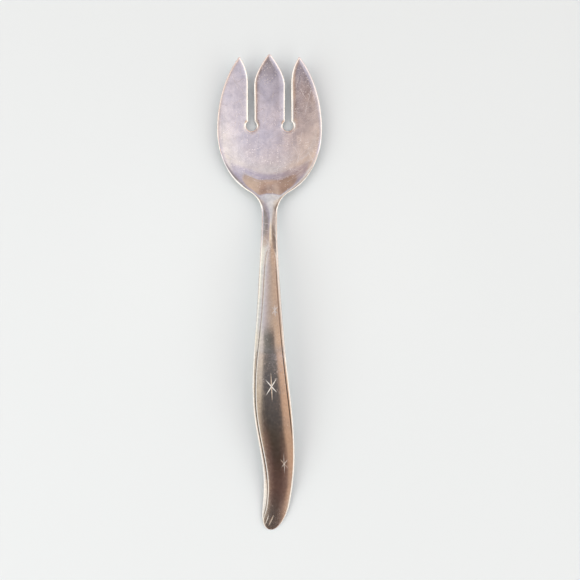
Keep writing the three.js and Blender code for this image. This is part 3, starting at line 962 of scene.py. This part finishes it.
def makeWorld():
    world = bpy.data.worlds.new("studio")
    bpy.context.scene.world = world
    world.use_nodes = True
    tree = world.node_tree
    right, fore, up = axes(tree, addNode(tree, "TexCoord").outputs["Generated"])
    degrees = 180 / math.pi
    sideLean = times(tree, calculate(tree, "ARCTAN2", right, up), degrees)
    foreLean = times(tree, calculate(tree, "ARCTAN2", fore, up), degrees)

    tint = mixColour(tree, softMask(tree, foreLean, *room["aheadFrom"]),
                     colourRamp(tree, sideLean, room["tintAbove"]), colourRamp(tree, sideLean, room["tintAhead"]))
    tint = mixColour(tree, softMask(tree, foreLean, *room["farFrom"]), tint,
                     colourRamp(tree, sideLean, room["tintFar"]))
    ceiling = mixColour(tree, 1.0, colourRamp(tree, foreLean, room["ceiling"]), tint, "MULTIPLY")

    # how far a direction lies outside each edge of the gap
    outside = []
    for edge, side in ((room["leftLine"], -1), (room["rightLine"], 1)):
        lean, start, stop, growth = edge
        past = calculate(tree, "MAXIMUM", calculate(tree, "SUBTRACT", times(tree, foreLean, -1.0), start), 0.0)
        past = calculate(tree, "MINIMUM", past, stop - start)
        line = calculate(tree, "ADD", times(tree, past, growth), abs(lean))
        outside.append(calculate(tree, "SUBTRACT", times(tree, sideLean, side), line))
    nearEdge = softMask(tree, calculate(tree, "MAXIMUM", *outside), -20, -4)
    nearEdge = times(tree, nearEdge, softMask(tree, foreLean, -30, -42))
    behind = mixColour(tree, nearEdge, colourRamp(tree, foreLean, room["gap"]), room["brown"])
    for beyond, panel in zip(outside, ("leftPanel", "rightPanel")):
        behind = mixColour(tree, softMask(tree, beyond, -2, 2), behind, colourRamp(tree, foreLean, room[panel]))

    far = times(tree, softMask(tree, sideLean, *room["leftFarFrom"]), softMask(tree, foreLean, *room["leftFarUntil"]))
    behind = mixColour(tree, far, behind, room["leftFar"])
    leftward = times(tree, sideLean, -1.0)
    rim = calculate(tree, "MAXIMUM", softMask(tree, leftward, *room["leftRimFrom"]),
                    softMask(tree, sideLean, *room["rightRimFrom"]))
    behind = mixColour(tree, rim, behind, room["rimLight"])

    offset = []
    slanted = calculate(tree, "ADD", sideLean, times(tree, foreLean, room["shadeSlant"]))
    for lean, middle, size in zip((slanted, foreLean), room["shadeAt"], room["shadeSize"]):
        share = calculate(tree, "DIVIDE", calculate(tree, "SUBTRACT", lean, middle), size)
        offset.append(times(tree, share, share))
    shaded = softMask(tree, calculate(tree, "ADD", *offset), 1.3, 0.3)
    ceiling = mixColour(tree, shaded, ceiling, mixColour(tree, 1.0, ceiling, room["shade"], "MULTIPLY"))
    sideways = calculate(tree, "ABSOLUTE", sideLean, 0.0)
    rim = times(tree, softMask(tree, sideways, *room["rimFrom"]), softMask(tree, foreLean, *room["rimUntil"]))
    ceiling = mixColour(tree, rim, ceiling, room["rimLight"])
    colour = mixColour(tree, softMask(tree, foreLean, *room["panelsUntil"]), behind, ceiling)
    rays = addNode(tree, "LightPath")
    colour = mixColour(tree, rays.outputs["Is Camera Ray"], colour, room["pale"])
    link(tree, colour, tree.nodes["Background"].inputs["Color"])


# a reflector over the neck and the upper handle, seen only in the metal: colours from left to right, in metres
reflector = {
    "height": 0.03,
    "halfWidth": 0.08,
    "reach": (-0.0275, 0.064),
    "crest": [(-0.06, (1.25, 1.17, 1.0)), (-0.018, (1.1, 1.02, 0.86)), (-0.0095, (0.97, 0.86, 0.8)),
        (-0.0082, (0.9, 0.8, 0.75)), (-0.0068, (0.4, 0.37, 0.33)), (-0.004, (0.27, 0.26, 0.24)),
        (0.0, (0.2, 0.19, 0.175)), (0.005, (0.22, 0.18, 0.16)), (0.0068, (0.72, 0.55, 0.44)),
        (0.01, (0.82, 0.58, 0.42)), (0.015, (0.8, 0.56, 0.42)), (0.022, (1.12, 1.0, 0.91)),
        (0.06, (1.25, 1.15, 1.05))],
    "upper": [(-0.06, (1.35, 1.32, 1.2)), (-0.024, (1.3, 1.28, 1.15)), (-0.019, (0.96, 0.94, 0.88)),
        (-0.011, (0.9, 0.85, 0.88)), (-0.006, (0.78, 0.67, 0.66)), (-0.002, (0.7, 0.57, 0.5)),
        (0.002, (0.68, 0.52, 0.42)), (0.007, (0.76, 0.55, 0.41)), (0.013, (0.76, 0.54, 0.41)),
        (0.018, (0.7, 0.5, 0.38)), (0.026, (1.05, 0.92, 0.84)), (0.06, (1.3, 1.2, 1.1))],
    "neck": [(-0.06, (1.3, 1.27, 1.2)), (-0.027, (1.2, 1.16, 1.1)), (-0.0245, (0.85, 0.74, 0.66)),
        (-0.021, (0.72, 0.57, 0.5)), (-0.017, (0.66, 0.5, 0.44)), (-0.0125, (0.64, 0.56, 0.58)),
        (-0.008, (1.25, 1.0, 0.76)), (0.0, (1.42, 1.13, 0.82)), (0.005, (1.2, 1.03, 0.88)),
        (0.01, (1.0, 0.88, 0.78)), (0.017, (0.6, 0.45, 0.34)), (0.022, (0.38, 0.28, 0.22)),
        (0.032, (0.27, 0.2, 0.165)), (0.04, (0.33, 0.27, 0.24)), (0.048, (1.4, 1.33, 1.26))],
    "throat": [(-0.06, (1.1, 1.05, 1.15)), (-0.03, (1.0, 0.96, 1.02)), (-0.0265, (0.42, 0.38, 0.35)),
        (-0.02, (0.36, 0.3, 0.27)), (-0.0165, (0.64, 0.56, 0.61)), (-0.012, (0.56, 0.5, 0.58)),
        (-0.0085, (0.84, 0.79, 0.84)), (-0.005, (0.99, 0.95, 0.98)), (0.0, (1.0, 0.97, 0.98)),
        (0.012, (0.98, 0.94, 0.94)), (0.022, (1.0, 0.87, 0.79)), (0.036, (0.74, 0.57, 0.47)),
        (0.041, (0.82, 0.69, 0.61)), (0.05, (1.3, 1.2, 1.1))],
    "aft": [(-0.06, (1.2, 1.12, 1.0)), (-0.018, (1.05, 0.98, 0.86)), (-0.0095, (0.9, 0.82, 0.78)),
        (-0.0082, (0.82, 0.75, 0.73)), (-0.0068, (0.44, 0.41, 0.39)), (-0.004, (0.31, 0.295, 0.29)),
        (0.0, (0.24, 0.235, 0.23)), (0.005, (0.26, 0.23, 0.22)), (0.0068, (0.55, 0.45, 0.4)),
        (0.01, (0.65, 0.51, 0.44)), (0.015, (0.67, 0.53, 0.46)), (0.022, (1.08, 0.98, 0.9)),
        (0.06, (1.25, 1.15, 1.05))],
    "aftFade": (-0.0225, -0.0275),
    "crestFade": (-0.011, -0.02),
    "neckFade": (0.034, 0.041),
    "throatFade": (0.047, 0.0505),
    "throatSlant": 0.13,
}


def makeReflector():
    bm = bmesh.new()
    bmesh.ops.create_grid(bm, x_segments=1, y_segments=1, size=1)
    low, high = reflector["reach"]
    bmesh.ops.scale(bm, verts=bm.verts[:], vec=(reflector["halfWidth"], (high - low) / 2, 1))
    bmesh.ops.translate(bm, verts=bm.verts[:], vec=(0, (high + low) / 2, reflector["height"]))
    card = meshObject("reflector", bm)
    material = bpy.data.materials.new("reflectorGlow")
    material.use_nodes = True
    tree = material.node_tree
    tree.nodes.clear()
    right, fore = axes(tree, addNode(tree, "TexCoord").outputs["Object"])[:2]
    ramps = {name: colourRamp(tree, right, reflector[name]) for name in ("crest", "upper", "neck", "throat", "aft")}
    crest = mixColour(tree, softMask(tree, fore, *reflector["aftFade"]), ramps["crest"], ramps["aft"])
    colour = mixColour(tree, softMask(tree, fore, *reflector["crestFade"]), ramps["upper"], crest)
    colour = mixColour(tree, softMask(tree, fore, *reflector["neckFade"]), colour, ramps["neck"])
    slanted = calculate(tree, "SUBTRACT", fore, times(tree, right, reflector["throatSlant"]))
    colour = mixColour(tree, softMask(tree, slanted, *reflector["throatFade"]), colour, ramps["throat"])
    glow = addNode(tree, "Emission", {"Color": colour})
    addNode(tree, "OutputMaterial", {"Surface": glow.outputs["Emission"]})
    card.data.materials.append(material)
    card.visible_camera = False
    card.visible_diffuse = False
    card.visible_shadow = False
    card.visible_transmission = False


makeReflector()
makeLights()
makeWorld()
bpy.context.scene.view_settings.view_transform = "Standard"
print("lights: set")

# straight above the fork, with the photograph's frame
view = {"at": (0.0094, 0.0022, 0.3), "frameWidth": 0.27092}


def makeCamera():
    data = bpy.data.cameras.new("camera")
    data.lens = data.sensor_width * view["at"][2] / view["frameWidth"]
    data.clip_start = 0.01
    camera = bpy.data.objects.new("camera", data)
    camera.location = view["at"]
    bpy.context.scene.collection.objects.link(camera)
    bpy.context.scene.camera = camera


makeCamera()
print("camera: set")
